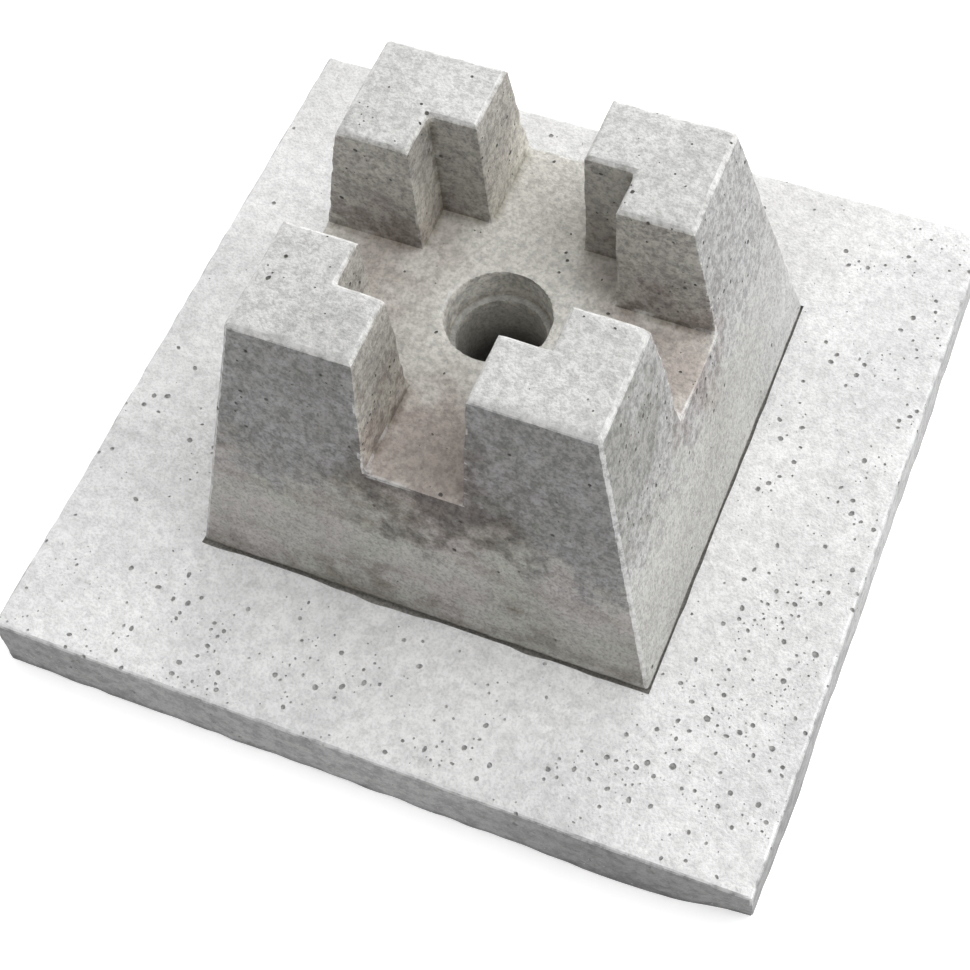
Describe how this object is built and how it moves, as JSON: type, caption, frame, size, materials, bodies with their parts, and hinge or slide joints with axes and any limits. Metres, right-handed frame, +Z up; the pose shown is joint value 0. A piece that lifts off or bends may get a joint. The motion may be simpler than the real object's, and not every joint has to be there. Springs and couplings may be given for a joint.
{
  "type": "concrete column base block",
  "caption": "Battered concrete pier block with crossing joist slots, a square post recess and a stepped centre hole, standing on a square footing slab.",
  "frame": {"origin": "centre of the footing slab's underside", "axes": "+Z up through the centre hole; X and Y run along the two joist slots"},
  "size_m": [0.4038, 0.4038, 0.206],
  "materials": {
    "slab_concrete": "pale grey cast concrete, open with small dark pores",
    "pier_concrete": "warm grey cast concrete, mottled and stained, with paler worn arrises"
  },
  "bodies": {
    "root": {"footing_slab": "slab_concrete", "pier_block": "pier_concrete"}
  },
  "joints": []
}
